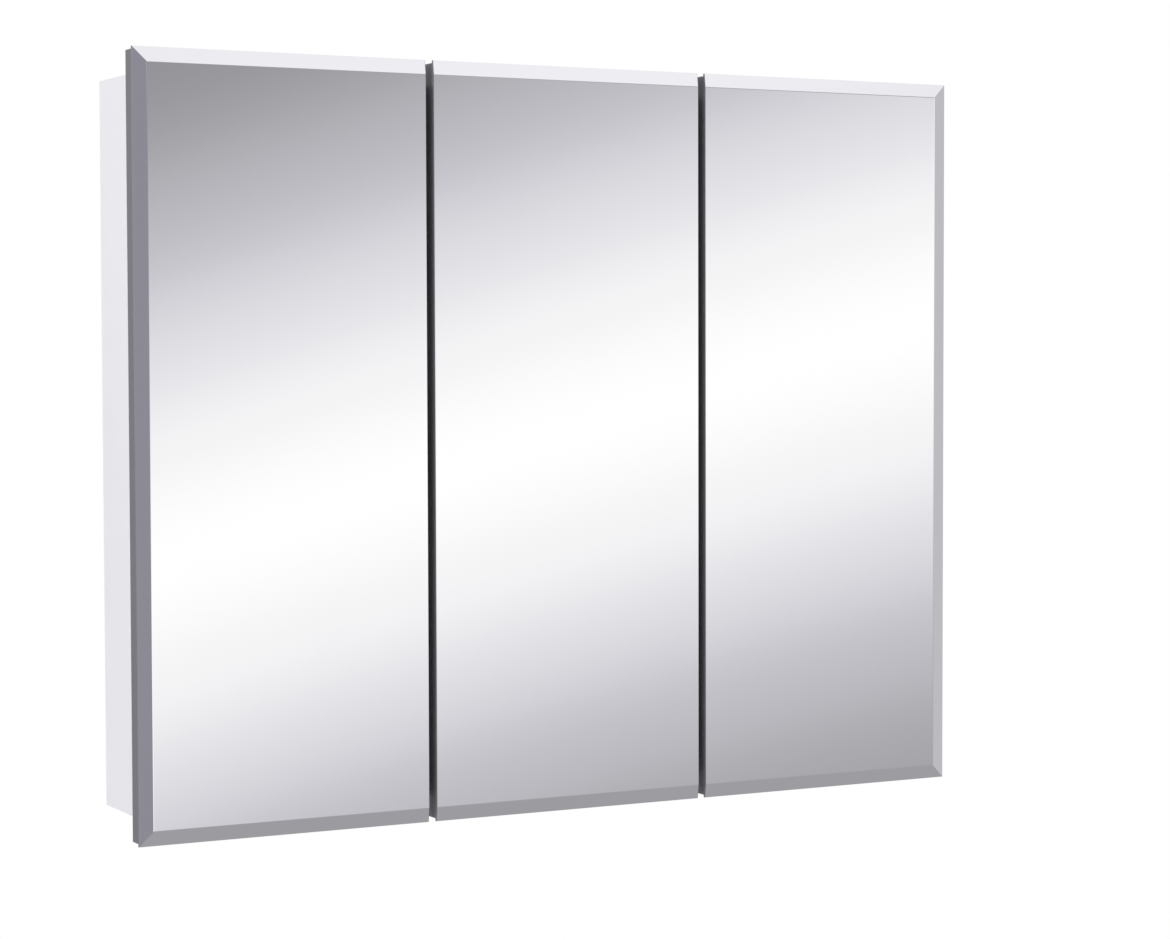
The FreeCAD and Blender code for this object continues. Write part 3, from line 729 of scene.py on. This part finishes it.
dress(mouldings["mountingTape"], *named("_mirror_tape"))
dress(mouldings["doorEdgeBand"], *named("_door_edging"))
dress(mouldings["catchPlastic"], "catch_housings")
dress(mouldings["catchMagnet"], "catch_magnets")
dress(mouldings["bumperRubber"], "door_bumpers")
print("finishes:", len(bpy.data.materials))

# Studio: what the mirrors see is a tilted soft band, with two grey flags beside it for the outer bevels
studio = {
    "ambient": 0.77,
    "bandAxis": (0.3316, 0.0, -0.9434),
    "bandStrength": 1.045,  # makes up for what the silver takes
    "bandLevels": {
        -1.0: 0.45, -0.64: 0.55, -0.42: 0.93, -0.3: 0.83, -0.1: 0.8, -0.03: 0.36, 0.005: 0.28,
        0.05: 0.4, 0.09: 0.6, 0.13: 0.83, 0.155: 0.935, 0.18: 1.0, 0.205: 0.945, 0.235: 0.83,
        0.27: 0.605, 0.3: 0.455, 0.33: 0.36, 0.45: 0.35, 0.57: 0.35, 0.72: 0.5, 1.0: 0.6,
    },
    "bandTint": (1.012, 1.0, 1.068),
    "tintFades": (0.87, 0.78),  # the brightest part of the band is plain white
    "flags": (
        {"azimuth": 2.85, "level": 0.262, "tint": (1.0, 0.97, 1.13)},
        {"azimuth": 51.3, "level": 0.497, "tint": (1.01, 1.0, 1.055)},
    ),
    "flagCore": 0.6,
    "flagReach": 5.5,
    "flagTop": 0.125,
    "flagBottom": -0.2,
    "flagFade": 0.25,
}


def makeWorld(style):
    world = bpy.data.worlds.new("studioWorld")
    bpy.context.scene.world = world
    world.use_nodes = True
    tree = world.node_tree
    tree.nodes.clear()
    direction = addNode(tree, "TexCoord").outputs["Generated"]
    x, y, z = addNode(tree, "SeparateXYZ", None, Vector=direction).outputs
    along = vectorNode(tree, "DOT_PRODUCT", direction, style["bandAxis"])
    start, end = min(style["bandLevels"]), max(style["bandLevels"])
    place = addNode(tree, "MapRange", None, Value=along, FromMin=start, FromMax=end).outputs[0]
    levels = {}
    for at, level in style["bandLevels"].items():
        lean = np.interp(-level, [-part for part in style["tintFades"]], (0, 1))
        tint = [1 + lean * (part - 1) for part in style["bandTint"]]
        levels[(at - start) / (end - start)] = grey(level, tint)
    seen = ramped(tree, place, levels)
    azimuth = mathNode(tree, "ARCTAN2", x, mathNode(tree, "MULTIPLY", y, -1.0))
    top, bottom, fade = style["flagTop"], style["flagBottom"], style["flagFade"]
    tall = mathNode(tree, "MULTIPLY", eased(tree, z, top + fade, top), eased(tree, z, bottom - fade, bottom))
    for flag in style["flags"]:
        away = mathNode(tree, "ABSOLUTE", mathNode(tree, "SUBTRACT", azimuth, math.radians(flag["azimuth"])))
        wide = eased(tree, away, math.radians(style["flagReach"]), math.radians(style["flagCore"]))
        cover = mathNode(tree, "MULTIPLY", wide, tall)
        seen = mixColours(tree, cover, seen, grey(flag["level"], flag["tint"]))
    mirrored = addNode(tree, "Background", None, Color=seen, Strength=style["bandStrength"]).outputs[0]
    white = addNode(tree, "Background", None, Color=grey(1), Strength=1.0).outputs[0]
    ambient = addNode(tree, "Background", None, Color=grey(1), Strength=style["ambient"]).outputs[0]
    rays = addNode(tree, "LightPath").outputs
    plain = mathNode(tree, "MAXIMUM", rays["Is Camera Ray"], rays["Is Transmission Ray"])
    lit = mixShaders(tree, rays["Is Glossy Ray"], ambient, mirrored)
    output = addNode(tree, "OutputWorld")
    tree.links.new(mixShaders(tree, plain, lit, white), output.inputs["Surface"])


# Soft lamps: level is what the lamp adds to a white card that faces it at the object
lamps = {
    "keyLamp": {"place": (-2.9, -2.0, 1.0), "size": 2.4, "level": 0.29},
    "fillLamp": {"place": (2.6, -2.6, 1.2), "size": 2.4, "level": 0.16},
    "rearLamp": {"place": (0.6, 3.0, 1.6), "size": 2.2, "level": 0.14},
}


def makeLamp(name, style):
    data = bpy.data.lights.new(name, "AREA")
    data.shape = "DISK"
    data.size = style["size"]
    place = Vector(style["place"])
    data.energy = style["level"] * math.pi ** 2 * place.length_squared
    lamp = bpy.data.objects.new(name, data)
    lamp.matrix_world = Matrix.Translation(place) @ (-place).to_track_quat("-Z", "Y").to_matrix().to_4x4()
    lamp.visible_glossy = False
    lamp.visible_camera = False
    bpy.context.scene.collection.objects.link(lamp)


# Floor: to glossy rays it is a painted glow, an emission standing in for the lit floor seen in the mirrors,
# brighter near its middle; its levels go by the distance from its middle, in metres
studioFloor = {
    "height": -1.1,
    "radius": 2.5,
    "rings": 8,
    "spokes": 96,
    "tone": 0.9,
    "roughness": 0.9,
    "rimFades": (1.5, 2.45),
    # levels of the painted glow that the mirrors see, by distance from the middle
    "mirrored": {0.0: 0.8, 0.75: 0.66, 1.2: 0.38, 1.45: 0.35, 2.0: 0.35},
    "tint": (1.0, 0.985, 1.06),
}


# Clear at its rim and when looked at from underneath; glossy rays see a painted glow that goes by the
# distance from its middle
def floorMaterial(style):
    material, tree, shader = startMaterial(
        "paleFloor", BaseColor=grey(style["tone"]), Roughness=style["roughness"], SpecularIORLevel=0.0,
    )
    place = addNode(tree, "TexCoord").outputs["Object"]
    reach = vectorNode(tree, "LENGTH", vectorNode(tree, "MULTIPLY", place, (1, 1, 0)))
    levels = {at / style["radius"]: grey(level, style["tint"]) for at, level in style["mirrored"].items()}
    shade = ramped(tree, mathNode(tree, "DIVIDE", reach, style["radius"]), levels)
    # painted reflection: the floor glows grey to glossy rays instead of showing its own lit look
    mirrored = addNode(tree, "Emission", None, Color=shade, Strength=1.0).outputs[0]
    rays = addNode(tree, "LightPath").outputs
    below = addNode(tree, "NewGeometry").outputs["Backfacing"]
    gone = mathNode(tree, "MAXIMUM", eased(tree, reach, *style["rimFades"]), below)
    lit = mixShaders(tree, rays["Is Glossy Ray"], shader.outputs[0], mirrored)
    clear = addNode(tree, "BsdfTransparent").outputs[0]
    output = next(node for node in tree.nodes if node.type == "OUTPUT_MATERIAL")
    tree.links.new(mixShaders(tree, gone, lit, clear), output.inputs["Surface"])
    return material


# Rings of a flat disc, x = r cos a, y = r sin a
def makeFloor(style):
    radii = np.linspace(0, style["radius"], style["rings"] + 1)[1:]
    angles = np.linspace(0, 2 * math.pi, style["spokes"] + 1)[:-1]
    gridR, gridA = np.meshgrid(radii, angles, indexing="ij")
    flat = np.full(gridR.shape, style["height"])
    points = np.stack([gridR * np.cos(gridA), gridR * np.sin(gridA), flat], axis=-1).reshape(-1, 3)
    index = np.arange(len(points)).reshape(gridR.shape)
    turned = np.roll(index, -1, axis=1)
    quads = np.stack([index[:-1], index[1:], turned[1:], turned[:-1]], axis=-1).reshape(-1, 4)
    mesh = bpy.data.meshes.new("studioFloor")
    mesh.from_pydata(points.tolist(), [], quads.tolist() + [index[0].tolist()])
    mesh.materials.append(floorMaterial(style))
    floor = bpy.data.objects.new("studioFloor", mesh)
    bpy.context.scene.collection.objects.link(floor)


makeWorld(studio)
for name, style in lamps.items():
    makeLamp(name, style)
makeFloor(studioFloor)
print("studio:", len(lamps), "lamps")
